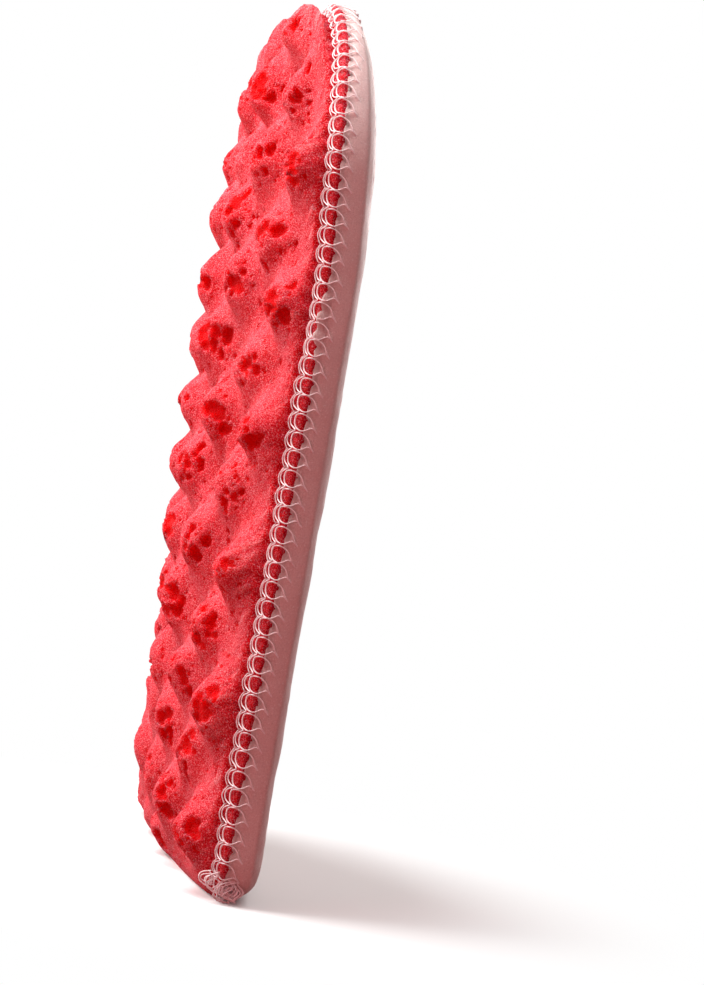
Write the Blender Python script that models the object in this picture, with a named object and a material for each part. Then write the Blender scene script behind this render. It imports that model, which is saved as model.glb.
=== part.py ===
"""A bath massage glove of two foam layers, standing on its open mouth.

The egg-crate massage layer faces -Y and the finer scrub layer faces +Y. An overlock seam of three
threads joins them up both sides and over the top, and leaves the lower end open for the hand.
Metres, +Z up, with the origin under the middle of the glove.

Places on the glove are written as (across, along, height): across is along X from the middle, along
is up from the mouth, and height is out from the seam plane towards the massage side. Inset is how
far a place lies in from the stitched edge.
"""

import math

import bmesh
import bpy

# Outline of both layers
glove_length = 0.200
glove_width = 0.125
top_corner_radius = 0.040
mouth_corner_radius = 0.010
top_arch = 0.004
corner_blend = 0.012

# Massage layer, with heights from the seam plane
massage_rim_height = 0.0030
massage_rim_width = 0.0026
massage_rim_rise = 0.0012
massage_crown = 0.0140
massage_crown_run = 0.020
massage_mouth_crown = 0.0050
massage_mouth_run = 0.009
bump_depth = 0.0075
bump_depth_run = 0.007
bump_mouth_depth = 0.0020
bump_pitch = 0.030
bump_first_row_inset = 0.010
bump_first_height = 0.012

# Scrub layer, with depths from the seam plane
scrub_rim_depth = 0.0060
scrub_edge_round = 0.0016
scrub_crown = 0.0055
scrub_crown_run = 0.020

# Hand pocket between the layers
seam_gap = 0.0003
seam_allowance = 0.0060
pocket_run = 0.018
massage_pocket_depth = 0.0035
scrub_pocket_depth = 0.0050

# Overlock seam
stitch_length = 0.0041
thread_diameter = 0.00045
thread_clearance = 0.0003
needle_inset = 0.0021
looper_leg_reach = 0.0023
needle_dip = 0.00012
seam_end_angle = math.radians(35)
top_thread_node_shares = (0.30, 0.70)

# Chained thread tails at the two ends of the seam
tail_diameter = 0.0010
tail_bend_radius = 0.0015
tail_lead = 0.0002
tail_rise = 0.0045
tail_bend_points = 10

# Spacing of the points on each surface
bump_points_across = 6
bump_points_along = 6
scrub_spacing = 0.010
pocket_spacing = 0.014
outline_step = 0.001

half_width = glove_width / 2
thread_radius = thread_diameter / 2


def clear_scene():
    for item in list(bpy.data.objects):
        bpy.data.objects.remove(item, do_unlink=True)


def half_width_at(along):
    """Half the glove's width at a height above the mouth, below its top corners."""
    short = max(0.0, mouth_corner_radius - along)
    return half_width - mouth_corner_radius + math.sqrt(mouth_corner_radius**2 - short**2)


def inset_of(across, along):
    """Distance in from the stitched edge, which leaves out the mouth."""
    beside = abs(across) - (half_width_at(along) - top_corner_radius)
    above = along - (glove_length - top_corner_radius)
    if beside > 0 and above > 0:
        return top_corner_radius - math.hypot(beside, above)
    nearer = max(beside, above)
    meeting = max(0.0, 1 - abs(beside - above) / corner_blend)
    inward = min(1.0, max(0.0, -nearer / corner_blend))
    return top_corner_radius - nearer - corner_blend * meeting**2 * inward / 4


def approach(distance, run):
    """Rises from 0 at the edge towards 1 over a few runs."""
    return 1 - math.exp(-max(0.0, distance) / run)


def smooth_step(share):
    share = min(1.0, max(0.0, share))
    return share * share * (3 - 2 * share)


def bump_share(across, along):
    """1 on a bump's top and 0 in a hollow, for rows staggered by half a pitch."""
    row = 2 * math.pi * (half_width - bump_first_row_inset - across) / bump_pitch
    step = 2 * math.pi * (along - bump_first_height) / bump_pitch
    return smooth_step((1 + math.cos(row) * math.cos(step)) / 2)


def pocket_share(across, along):
    """0 in the seam allowance and 1 where the hand pocket is at its deepest."""
    return smooth_step((inset_of(across, along) - seam_allowance) / pocket_run)


def massage_face(across, along):
    inset = inset_of(across, along)
    beyond = inset - massage_rim_width
    rim = massage_rim_height + massage_rim_rise * min(1.0, max(0.0, inset / massage_rim_width))
    up = approach(along, massage_mouth_run)
    crown = massage_mouth_crown + (massage_crown - massage_mouth_crown) * up
    depth = bump_mouth_depth + (bump_depth - bump_mouth_depth) * up
    hollow = depth * approach(beyond, bump_depth_run) * (1 - bump_share(across, along))
    return rim + crown * approach(beyond, massage_crown_run) - hollow


def massage_back(across, along):
    return seam_gap / 2 + massage_pocket_depth * pocket_share(across, along)


def scrub_back(across, along):
    return -seam_gap / 2 - scrub_pocket_depth * pocket_share(across, along)


def scrub_face(across, along):
    inset = inset_of(across, along)
    rounded = scrub_edge_round * approach(min(inset, along), scrub_edge_round)
    crown = scrub_crown * approach(inset - scrub_edge_round, scrub_crown_run)
    return -scrub_rim_depth - rounded - crown


def to_outline(across, along):
    """Draws the square corners of a rectangular sheet in to the glove's rounded ones."""
    side = math.copysign(1, across)
    for radius, centre_along, way in (
        (top_corner_radius, glove_length - top_corner_radius, 1),
        (mouth_corner_radius, mouth_corner_radius, -1),
    ):
        beside = abs(across) - (half_width - radius)
        beyond = way * (along - centre_along)
        if beside <= 0 or beyond <= 0:
            continue
        reach = max(beside, beyond)
        turn = math.pi / 4 * min(beside, beyond) / reach
        angle = turn if beside > beyond else math.pi / 2 - turn
        across = side * (half_width - radius + reach * math.cos(angle))
        along = centre_along + way * reach * math.sin(angle)
    return across, along


def to_world(across, along, height):
    """The top edge falls a little from the middle to the shoulders."""
    fall = top_arch * (across / half_width) ** 2 * (along / glove_length) ** 2
    return across, -height, along - fall


def stations(low, high, spacing, anchor, low_insets, high_insets):
    """Places of the grid lines: even ones through the anchor, and set ones near each edge."""
    start = low + max(low_insets) + spacing / 2
    stop = high - max(high_insets) - spacing / 2
    first = math.ceil((start - anchor) / spacing)
    last = math.floor((stop - anchor) / spacing)
    inner = [anchor + number * spacing for number in range(first, last + 1)]
    return [low + inset for inset in sorted(low_insets)] + inner + [
        high - inset for inset in sorted(high_insets, reverse=True)
    ]


def add_sheet(mesh, across_places, along_places, height_at):
    """One face of a layer: a grid bent to the outline, with its heights from a formula."""
    columns, rows = len(across_places) - 1, len(along_places) - 1
    made = bmesh.ops.create_grid(mesh, x_segments=columns, y_segments=rows, size=1)
    for vertex in made["verts"]:
        column = round((vertex.co.x + 1) / 2 * columns)
        row = round((vertex.co.y + 1) / 2 * rows)
        across, along = to_outline(across_places[column], along_places[row])
        vertex.co = to_world(across, along, height_at(across, along))
    faces = {face for vertex in made["verts"] for face in vertex.link_faces}
    return [edge for face in faces for edge in face.edges if edge.is_boundary]


def layer(name, fronts, backs, face_at, back_at, material):
    """A closed foam layer: an outer and an inner sheet, with their rims bridged."""
    mesh = bmesh.new()
    front_rim = add_sheet(mesh, *fronts, face_at)
    back_rim = add_sheet(mesh, *backs, back_at)
    bmesh.ops.bridge_loops(mesh, edges=front_rim + back_rim)
    bmesh.ops.triangulate(mesh, faces=[face for face in mesh.faces if len(face.verts) > 4])
    bmesh.ops.recalc_face_normals(mesh, faces=mesh.faces)
    data = bpy.data.meshes.new(name)
    mesh.to_mesh(data)
    mesh.free()
    data.materials.append(material)
    data.shade_smooth()
    data.set_sharp_from_angle(angle=math.radians(50))
    return bpy.data.objects.new(name, data)


def smooth_places(spacing):
    insets = (0.0, scrub_edge_round, 3 * scrub_edge_round)
    return (
        stations(-half_width, half_width, spacing, 0.0, insets, insets),
        stations(0.0, glove_length, spacing, 0.0, (0.0, scrub_edge_round), insets),
    )


def bump_places():
    """Grid lines that fall on each side of a bump's top, so that it comes out round."""
    sides = (0.0, massage_rim_width)
    step = bump_pitch / bump_points_across
    anchor = half_width - bump_first_row_inset + step / 2
    across = stations(-half_width, half_width, step, anchor, sides, sides)
    step = bump_pitch / bump_points_along
    anchor = bump_first_height + step / 2
    along = stations(0.0, glove_length, step, anchor, (0.0,), sides)
    return across, along


def make_massage_pad(material):
    backs = smooth_places(pocket_spacing)
    return layer("massage_pad", bump_places(), backs, massage_face, massage_back, material)


def make_scrub_pad(material):
    places = smooth_places(scrub_spacing)
    return layer("scrub_pad", places, places, scrub_face, scrub_back, material)


def seam_route():
    """Points along the stitched edge, each as (across, along, outward across, outward along)."""
    route = []

    def arc(centre_across, centre_along, radius, start, end):
        count = max(2, round(abs(end - start) * radius / outline_step))
        for number in range(count + 1):
            angle = start + (end - start) * number / count
            outward = math.cos(angle), math.sin(angle)
            across = centre_across + radius * outward[0]
            along = centre_along + radius * outward[1]
            route.append((across, along, *outward))

    top_across = half_width - top_corner_radius
    top_along = glove_length - top_corner_radius
    low_across = half_width - mouth_corner_radius
    arc(low_across, mouth_corner_radius, mouth_corner_radius, -seam_end_angle, 0)
    arc(top_across, top_along, top_corner_radius, 0, math.pi / 2)
    arc(-top_across, top_along, top_corner_radius, math.pi / 2, math.pi)
    arc(-low_across, mouth_corner_radius, mouth_corner_radius, math.pi, math.pi + seam_end_angle)
    return route


def route_lengths(route):
    lengths = [0.0]
    for before, after in zip(route, route[1:]):
        lengths.append(lengths[-1] + math.dist(before[:2], after[:2]))
    return lengths


def seam_place(route, lengths, distance, outward, height):
    """A point by its distance along the seam, how far out from the edge it is, and its height."""
    distance = min(lengths[-1], max(0.0, distance))
    upper = next(index for index, length in enumerate(lengths) if length >= distance)
    lower = max(0, upper - 1)
    span = lengths[upper] - lengths[lower]
    share = (distance - lengths[lower]) / span if span else 0.0
    near, far = route[lower], route[upper]
    across, along, out_across, out_along = (a + (b - a) * share for a, b in zip(near, far))
    return to_world(across + outward * out_across, along + outward * out_along, height)


def rim_height(inset):
    return massage_rim_height + massage_rim_rise * inset / massage_rim_width


def tube(name, points, diameter, material):
    """A thread as a round tube through its points, with closed ends."""
    curve = bpy.data.curves.new(name, "CURVE")
    curve.dimensions = "3D"
    curve.bevel_depth = diameter / 2
    curve.bevel_resolution = 0
    curve.use_fill_caps = True
    spline = curve.splines.new("POLY")
    spline.points.add(len(points) - 1)
    for point, place in zip(spline.points, points):
        point.co = (*place, 1)
    curve.materials.append(material)
    return bpy.data.objects.new(name, curve)


def stitch_starts(lengths):
    count = round(lengths[-1] / stitch_length)
    pitch = lengths[-1] / count
    return [number * pitch for number in range(count)], pitch


def chain_height():
    """Height of the chain on the edge, just under the corner that the upper looper thread holds."""
    return massage_rim_height - thread_diameter - thread_clearance


def make_needle_thread(route, lengths, material):
    """Runs along the rim of the massage face, dipping where the needle went down."""
    starts, pitch = stitch_starts(lengths)
    lift = rim_height(needle_inset) + (thread_clearance + thread_radius) * rim_slope_factor()
    points = []
    for start in starts:
        points.append(seam_place(route, lengths, start, -needle_inset, lift))
        middle = start + pitch / 2
        points.append(seam_place(route, lengths, middle, -needle_inset, lift + needle_dip))
    return tube("needle_thread", points, thread_diameter, material)


def rim_slope_factor():
    """How much further a thread stands off along the height where the rim slopes."""
    return math.hypot(1, massage_rim_rise / massage_rim_width)


def make_upper_looper_thread(route, lengths, material):
    """Goes from the needle thread out to the edge of the massage layer and back, once a stitch."""
    starts, pitch = stitch_starts(lengths)
    inner = needle_inset - thread_diameter - thread_clearance
    stand_off = thread_clearance + thread_radius
    inner_height = rim_height(inner) + stand_off * rim_slope_factor()
    corner = stand_off / math.sqrt(2) + thread_clearance / 2
    points = []
    for start in starts:
        points.append(seam_place(route, lengths, start, -inner, inner_height))
        for share in top_thread_node_shares:
            place = start + share * pitch
            points.append(
                seam_place(route, lengths, place, corner, massage_rim_height + corner)
            )
    return tube("upper_looper_thread", points, thread_diameter, material)


def make_lower_looper_thread(route, lengths, material):
    """Goes from the chain on the edge to the scrub layer and back, once a stitch."""
    starts, pitch = stitch_starts(lengths)
    outward = thread_clearance + thread_radius
    points = []
    for start in starts:
        points.append(seam_place(route, lengths, start, outward, chain_height()))
        middle = start + pitch / 2
        points.append(seam_place(route, lengths, middle, outward, -looper_leg_reach))
    return tube("lower_looper_thread", points, thread_diameter, material)


def make_thread_tail(name, side, material):
    """The chain left at an end of the seam, hooked up beside the corner of the mouth."""
    radius = mouth_corner_radius + thread_clearance + tail_diameter / 2
    gap = thread_radius + thread_clearance + tail_diameter / 2
    angle = seam_end_angle + gap / mouth_corner_radius
    across = side * (half_width - mouth_corner_radius + radius * math.cos(angle))
    along = mouth_corner_radius - radius * math.sin(angle)
    height = chain_height()
    points = [to_world(across, along, height)]
    for number in range(tail_bend_points + 1):
        turn = math.pi * number / tail_bend_points
        place_along = along - tail_lead - tail_bend_radius * math.sin(turn)
        place_height = height + tail_bend_radius * (1 - math.cos(turn))
        points.append(to_world(across, place_along, place_height))
    points.append(to_world(across, along + tail_rise, height + 2 * tail_bend_radius))
    return tube(name, points, tail_diameter, material)


def surface(name, colour, roughness):
    material = bpy.data.materials.new(name)
    material.use_nodes = True
    shader = material.node_tree.nodes["Principled BSDF"]
    shader.inputs["Base Color"].default_value = (*colour, 1)
    shader.inputs["Roughness"].default_value = roughness
    shader.inputs["Metallic"].default_value = 0
    return material


def reach_of(item, toward):
    """How far an object's points go along Y towards one side."""
    return max(toward * vertex.co.y for vertex in item.data.vertices)


def build():
    clear_scene()
    massage_foam = surface("massage_foam", (0.80, 0.060, 0.075), 0.85)
    scrub_foam = surface("scrub_foam", (0.82, 0.80, 0.80), 0.80)
    seam_thread = surface("seam_thread", (0.86, 0.84, 0.84), 0.60)
    route = seam_route()
    lengths = route_lengths(route)
    massage_pad = make_massage_pad(massage_foam)
    scrub_pad = make_scrub_pad(scrub_foam)
    parts = [
        massage_pad,
        scrub_pad,
        make_needle_thread(route, lengths, seam_thread),
        make_upper_looper_thread(route, lengths, seam_thread),
        make_lower_looper_thread(route, lengths, seam_thread),
        make_thread_tail("right_thread_tail", 1, seam_thread),
        make_thread_tail("left_thread_tail", -1, seam_thread),
    ]
    glove = bpy.data.collections.new("bath_massage_glove")
    bpy.context.scene.collection.children.link(glove)
    middle = bpy.data.objects.new("glove_middle", None)
    middle.location.y = (reach_of(massage_pad, -1) - reach_of(scrub_pad, 1)) / 2
    for item in (middle, *parts):
        glove.objects.link(item)
    for item in parts:
        item.parent = middle


build()
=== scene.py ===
"""Looks of the bath massage glove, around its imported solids.

Both foam layers, the seam's three threads and its two tails are modelled here as detailed meshes,
in metres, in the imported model's frame. Places on the glove are written as (across, along, height):
across is along X from the middle, along is up from the mouth, and height is out from the seam
plane towards the massage side. Inset is how far a place lies in from the stitched edge, and run
is the length of that edge from the near mouth corner.
"""

import math

import bpy
import numpy as np
from mathutils import Matrix, Vector


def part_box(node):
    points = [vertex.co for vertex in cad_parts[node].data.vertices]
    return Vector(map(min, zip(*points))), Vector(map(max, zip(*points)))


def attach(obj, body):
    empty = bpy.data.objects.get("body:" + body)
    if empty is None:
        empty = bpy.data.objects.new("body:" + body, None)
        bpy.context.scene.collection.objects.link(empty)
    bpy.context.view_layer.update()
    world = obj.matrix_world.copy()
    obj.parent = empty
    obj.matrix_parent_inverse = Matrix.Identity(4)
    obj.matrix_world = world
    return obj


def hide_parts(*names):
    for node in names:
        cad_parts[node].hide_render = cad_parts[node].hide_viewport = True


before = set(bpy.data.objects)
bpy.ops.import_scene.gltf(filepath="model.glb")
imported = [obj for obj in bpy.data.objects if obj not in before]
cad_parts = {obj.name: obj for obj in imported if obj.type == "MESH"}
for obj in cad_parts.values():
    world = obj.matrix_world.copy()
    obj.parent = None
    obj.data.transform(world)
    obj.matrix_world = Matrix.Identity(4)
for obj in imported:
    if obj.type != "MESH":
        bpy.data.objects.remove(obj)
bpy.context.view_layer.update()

# Outline of the glove, and the plane in which its layers meet
LENGTH = 0.200
HALF_WIDTH = 0.0625
TOP_RADIUS = 0.040
MOUTH_RADIUS = 0.010
TOP_ARCH = 0.004
CORNER_BLEND = 0.012
SEAM_GAP = 0.0003
SEAM_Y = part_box("massage_pad")[1].y + SEAM_GAP / 2
# A rim point below this belongs to the mouth
MOUTH_LINE = 1e-6

# How the stitched edge curls over to the massage side, high up on the glove
CURL = 0.0024
CURL_START = 0.135
CURL_RUN = 0.038
CURL_WIDTH = 0.018

# The photograph's camera
FRAME_HEIGHT = 985
SENSOR = 36.0
FOCAL_PIXELS = 2600
CAMERA_PLACE = (0.60702, SEAM_Y - 0.10395, 0.0977)
CAMERA_AZIMUTH = math.radians(77.98)
CAMERA_PITCH = math.radians(0.62)
CAMERA_ROLL = math.radians(9.85)


def make_camera():
    data = bpy.data.cameras.new("photo_camera")
    data.sensor_width = SENSOR
    data.lens = FOCAL_PIXELS / FRAME_HEIGHT * SENSOR
    data.clip_start, data.clip_end = 0.01, 20
    camera = bpy.data.objects.new("photo_camera", data)
    bpy.context.scene.collection.objects.link(camera)
    level = math.cos(CAMERA_PITCH)
    east, south = math.sin(CAMERA_AZIMUTH) * level, -math.cos(CAMERA_AZIMUTH) * level
    back = Vector((east, south, math.sin(CAMERA_PITCH)))
    right = (-back).cross(Vector((0, 0, 1))).normalized()
    up = right.cross(-back)
    turned_right = right * math.cos(CAMERA_ROLL) + up * math.sin(CAMERA_ROLL)
    turned_up = up * math.cos(CAMERA_ROLL) - right * math.sin(CAMERA_ROLL)
    turn = Matrix((turned_right, turned_up, back)).transposed()
    camera.matrix_world = Matrix.Translation(CAMERA_PLACE) @ turn.to_4x4()
    bpy.context.scene.camera = camera


make_camera()


# Repeatable noise


HASH_FACTORS = np.array((374761393, 668265263, 2147483647))
SEED_FACTOR = 974634777


def lattice(cells, seed):
    """A repeatable number from -1 to 1 for each whole-number place, hashed from its cells."""
    mixed = cells.astype(np.int64) @ HASH_FACTORS[: cells.shape[-1]] + seed * SEED_FACTOR
    mixed = mixed & 0xFFFFFFFF
    mixed = ((mixed ^ (mixed >> 13)) * 1274126177) & 0xFFFFFFFF
    mixed = ((mixed ^ (mixed >> 15)) * 2246822519) & 0xFFFFFFFF
    mixed = mixed ^ (mixed >> 16)
    return mixed / 0x7FFFFFFF - 1


def noise(points, wavelength, seed):
    """Smooth value noise from about -1 to 1, in as many dimensions as the points have."""
    scaled = points / wavelength + 100.0
    cell = np.floor(scaled)
    part = scaled - cell
    part = part * part * (3 - 2 * part)
    dimensions = points.shape[-1]
    total = 0.0
    for corner in range(2**dimensions):
        offset = np.array([(corner >> axis) & 1 for axis in range(dimensions)])
        weight = np.prod(np.where(offset, part, 1 - part), axis=-1)
        total = total + weight * lattice(cell + offset, seed)
    return total


def layered_noise(points, waves, seed):
    """Sum of noises, each wave given as its strength and its wavelength."""
    return sum(strength * noise(points, wavelength, seed + index)
               for index, (strength, wavelength) in enumerate(waves))


def smooth(share):
    """A share from 0 to 1, with a soft start and end."""
    share = np.clip(share, 0, 1)
    return share * share * (3 - 2 * share)


def approach(distance, run):
    """Rises from 0 towards 1 as the distance grows past the run."""
    return 1 - np.exp(-np.maximum(0.0, distance) / run)


def bell(distance, width):
    """1 at no distance, and falling to 0 on both sides."""
    return np.exp(-((distance / width) ** 2))


# The glove's outline

SIDE_RUN = LENGTH - TOP_RADIUS - MOUTH_RADIUS
MOUTH_ARC = MOUTH_RADIUS * math.pi / 2
TOP_ARC = TOP_RADIUS * math.pi / 2
HALF_RUN = MOUTH_ARC + SIDE_RUN + TOP_ARC + HALF_WIDTH - TOP_RADIUS


def inset_of(across, along):
    """Distance in from the stitched edge, which leaves out the mouth."""
    short = np.maximum(0.0, MOUTH_RADIUS - along)
    half_width = HALF_WIDTH - MOUTH_RADIUS + np.sqrt(np.maximum(0, MOUTH_RADIUS**2 - short**2))
    beside = np.abs(across) - (half_width - TOP_RADIUS)
    above = along - (LENGTH - TOP_RADIUS)
    nearer = np.maximum(beside, above)
    meeting = np.maximum(0.0, 1 - np.abs(beside - above) / CORNER_BLEND)
    inward = np.clip(-nearer / CORNER_BLEND, 0, 1)
    flat = TOP_RADIUS - nearer - CORNER_BLEND * meeting**2 * inward / 4
    return np.where((beside > 0) & (above > 0), TOP_RADIUS - np.hypot(beside, above), flat)


def edge_at(run):
    """Place on the stitched edge and the way inward from it."""
    run = np.asarray(run, float)
    near = run <= HALF_RUN
    half = np.where(near, run, 2 * HALF_RUN - run)
    mouth_turn = half / MOUTH_RADIUS - math.pi / 2
    top_turn = np.clip((half - MOUTH_ARC - SIDE_RUN) / TOP_RADIUS, 0, math.pi / 2)
    turn = np.where(half < MOUTH_ARC, mouth_turn, top_turn)
    radius = np.where(half < MOUTH_ARC, MOUTH_RADIUS, TOP_RADIUS)
    beyond_top = np.maximum(0, half - MOUTH_ARC - SIDE_RUN - TOP_ARC)
    up_side = np.clip(half - MOUTH_ARC, 0, SIDE_RUN)
    across = HALF_WIDTH - radius + radius * np.cos(turn) - beyond_top
    along = MOUTH_RADIUS + up_side + radius * np.sin(turn)
    way = np.where(near, 1, -1)
    return (across * way, along), (-np.cos(turn) * way, -np.sin(turn))


def run_of(across, along):
    """The run at the place on the edge that is nearest to each point."""
    away = np.abs(across)
    over = along - (LENGTH - TOP_RADIUS)
    beside = away - (HALF_WIDTH - TOP_RADIUS)
    low = np.arctan2(along - MOUTH_RADIUS, away - (HALF_WIDTH - MOUTH_RADIUS))
    low = MOUTH_RADIUS * (math.pi / 2 + np.clip(low, -math.pi / 2, 0))
    high = np.clip(np.arctan2(over, beside), 0, math.pi / 2)
    high = MOUTH_ARC + SIDE_RUN + TOP_RADIUS * high
    half = np.where(beside > over, MOUTH_ARC + along - MOUTH_RADIUS, HALF_RUN - away)
    half = np.where((over > 0) & (beside > 0), high, half)
    half = np.where((along < MOUTH_RADIUS) & (away > HALF_WIDTH - MOUTH_RADIUS), low, half)
    return np.where(across > 0, half, 2 * HALF_RUN - half)


def to_outline(across, along):
    """Draws the square corners of a rectangular sheet in to the glove's rounded ones."""
    across, along = across.copy(), along.copy()
    side = np.sign(across)
    for radius, centre_along, way in (
        (TOP_RADIUS, LENGTH - TOP_RADIUS, 1),
        (MOUTH_RADIUS, MOUTH_RADIUS, -1),
    ):
        beside = np.abs(across) - (HALF_WIDTH - radius)
        beyond = way * (along - centre_along)
        inside = (beside > 0) & (beyond > 0)
        reach = np.maximum(beside, beyond)
        turn = np.pi / 4 * np.minimum(beside, beyond) / np.where(inside, reach, 1)
        angle = np.where(beside > beyond, turn, np.pi / 2 - turn)
        across = np.where(inside, side * (HALF_WIDTH - radius + reach * np.cos(angle)), across)
        along = np.where(inside, centre_along + way * reach * np.sin(angle), along)
    return across, along


def seam_curl(across, along):
    """How far the stitched edge curls over to the massage side, in the upper part."""
    high = smooth((along - CURL_START) / CURL_RUN)
    return CURL * high * (1 - smooth(inset_of(across, along) / CURL_WIDTH))


def to_world(across, along, height):
    fall = TOP_ARCH * (across / HALF_WIDTH) ** 2 * (along / LENGTH) ** 2
    return np.stack([across, SEAM_Y - height - seam_curl(across, along), along - fall], axis=-1)


def top_share(across, along):
    """0 beside the glove's long sides and 1 below its top edge."""
    below = np.maximum(0, LENGTH - along)
    inside = np.maximum(0, HALF_WIDTH - np.abs(across))
    return (inside**2 / np.maximum(1e-9, inside**2 + below**2)) ** 2


# The massage layer's form

RIM_HEIGHT = 0.0018
RIM_ROUND = 0.0005
RIM_RISE = 0.0015
RIM_WIDTH = 0.0024
PUFF = 0.0019
PUFF_RUN = 0.0014
CROWN = 0.0068
LOW_CROWN_SHARE = 0.18
LOW_CROWN_START = -0.020
LOW_CROWN_RUN = 0.130
TOP_CROWN = 0.0016
TOP_CROWN_RUN = 0.0016
MOUTH_EDGE = 0.0011
MOUTH_EDGE_CROWN = 0.0036
MOUTH_EDGE_RUN = 0.020
MOUTH_RUN = 0.0042
LEAST_THICKNESS = 0.0009
BUMP_RISE = 0.0064
BUMP_RADIUS = 0.0080
BUMP_POWER = 2.4
LOW_BUMP_SHARE = 0.50
LOW_BUMP_RUN = 0.080
LOW_BUMP_START = 0.040
LOW_BUMP_SPAN = 0.070
BUMP_FADE = 0.006
TOP_BUMP_FADE = 0.011
TOP_BUMP_START = 0.17
TOP_BUMP_GAIN = 1.35
RIDGE_RISE = 0.0019
RIDGE_WIDTH = 0.0046
RIDGE_CLIMB = 0.0025
RIDGE_FADE = 0.003
ROW_SPACING = 0.015
BUMP_PITCH = 0.030
FIRST_ROW_INSET = 0.0118
# How far up the bumps of the first two rows lie, from the near edge, as in the photograph
NEAR_ROWS = (
    (0.0128, 0.0415, 0.0713, 0.1019, 0.1309, 0.1608, 0.1900),
    (0.0289, 0.0567, 0.0871, 0.1157, 0.1461, 0.1765),
)
# How far up the first bump of each later row lies
ROW_STARTS = (0.0150, 0.0011, 0.0155, 0.0020, 0.0188, 0.0015)
ROW_RISES = (0.84, 0.93, 1, 1, 1, 0.95, 0.86, 0.40)
PLACE_SPREAD = 0.0009
RISE_SPREAD = 0.07
RADIUS_SPREAD = 0.05
# What bends the bumps' outlines: strength and wavelength
BUMP_BENDS = ((0.0011, 0.014), (0.0005, 0.006))
OVERHANG = 0.0006
TOP_OVERHANG = 0.0040
OVERHANG_RUN = 0.0050
POCKET_DEPTH = 0.0035
SEAM_ALLOWANCE = 0.0060
POCKET_RUN = 0.018


def pocket_share(across, along):
    return smooth((inset_of(across, along) - SEAM_ALLOWANCE) / POCKET_RUN)


def bump_list():
    """(across, along, rise share, radius) of each bump, row by row from the near edge."""
    chance = np.random.default_rng(7)
    bumps = []
    rows = [np.arange(first - BUMP_PITCH, LENGTH + BUMP_PITCH, BUMP_PITCH)
            for first in ROW_STARTS]
    for row, places in enumerate([*NEAR_ROWS, *rows]):
        across = HALF_WIDTH - FIRST_ROW_INSET - row * ROW_SPACING
        for along in places:
            jitter = chance.normal(0, PLACE_SPREAD, 2)
            rise = ROW_RISES[row] * (1 + chance.normal(0, RISE_SPREAD))
            if row >= len(NEAR_ROWS) and along > TOP_BUMP_START:
                rise = rise * TOP_BUMP_GAIN
            radius = BUMP_RADIUS * (1 + chance.normal(0, RADIUS_SPREAD))
            bumps.append((across + jitter[0], along + jitter[1], rise, radius))
    return bumps


BUMPS = bump_list()


def bump_share(across, along):
    """1 on a bump's top and 0 in a hollow."""
    flat = np.stack([across, along], axis=-1)
    for index, (strength, wavelength) in enumerate(BUMP_BENDS):
        across = across + strength * noise(flat, wavelength, 11 + index)
        along = along + strength * noise(flat, wavelength, 13 + index)
    total = np.zeros(across.shape)
    for middle_across, middle_along, rise, radius in BUMPS:
        away = np.hypot(across - middle_across, along - middle_along)
        total = total + rise * np.exp(-((away / radius) ** BUMP_POWER))
    return total


def ridge_share(across, along):
    """Soft ridges that climb from the outermost bumps to the seam on both sides."""
    total = np.zeros(across.shape)
    for middle_across, middle_along, rise, _ in BUMPS:
        inset = HALF_WIDTH - abs(middle_across)
        if inset > 2 * FIRST_ROW_INSET:
            continue
        out = np.where(np.sign(across) == np.sign(middle_across), np.abs(across), -1.0)
        share = np.clip((out - abs(middle_across)) / inset, 0, 1)
        away = np.hypot(out - abs(middle_across) - share * inset,
                        along - middle_along - share * RIDGE_CLIMB)
        total = total + rise * bell(away, RIDGE_WIDTH)
    return total


def massage_height(across, along):
    """Rim, puff, crown, bumps and ridges, all drawn in to a thin edge at the mouth."""
    inset = inset_of(across, along)
    beyond = inset - RIM_WIDTH
    rim = RIM_HEIGHT - RIM_ROUND + RIM_ROUND * approach(inset, RIM_ROUND / 2)
    rim = rim + RIM_RISE * np.clip(inset / RIM_WIDTH, 0, 1) + PUFF * approach(beyond, PUFF_RUN)
    low = smooth((along - LOW_CROWN_START) / LOW_CROWN_RUN)
    side = CROWN * smooth(inset / HALF_WIDTH) * (LOW_CROWN_SHARE + (1 - LOW_CROWN_SHARE) * low)
    upper = top_share(across, along)
    full = rim + np.maximum(side, TOP_CROWN * approach(beyond, TOP_CROWN_RUN) * upper)
    fade = BUMP_FADE + (TOP_BUMP_FADE - BUMP_FADE) * upper
    lost = 1 - smooth(along / LOW_BUMP_RUN)
    lost = lost * smooth((LOW_BUMP_START - across) / LOW_BUMP_SPAN)
    rise = BUMP_RISE * (1 - (1 - LOW_BUMP_SHARE) * lost)
    full = full + rise * bump_share(across, along) * smooth(beyond / fade)
    full = full + RIDGE_RISE * ridge_share(across, along) * smooth(beyond / RIDGE_FADE)
    edge = MOUTH_EDGE + MOUTH_EDGE_CROWN * approach(inset, MOUTH_EDGE_RUN)
    return edge + (full - edge) * approach(along, MOUTH_RUN)


def overhang(across, along):
    """How far the foam swells out over the seam, beyond its threads."""
    beyond = inset_of(across, along) - RIM_WIDTH
    most = OVERHANG + (TOP_OVERHANG - OVERHANG) * top_share(across, along)
    swell = smooth(beyond / RIM_WIDTH) * np.exp(-np.maximum(0, beyond - RIM_WIDTH) / OVERHANG_RUN)
    return most * swell * smooth(along / (3 * MOUTH_RUN))


def massage_face(across, along):
    """The layer's face in the world, before its grain and pores."""
    height = massage_height(across, along)
    out = overhang(across, along)
    inward = edge_at(run_of(across, along))[1]
    return to_world(across - inward[0] * out, along - inward[1] * out, height)


# Mesh building


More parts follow.
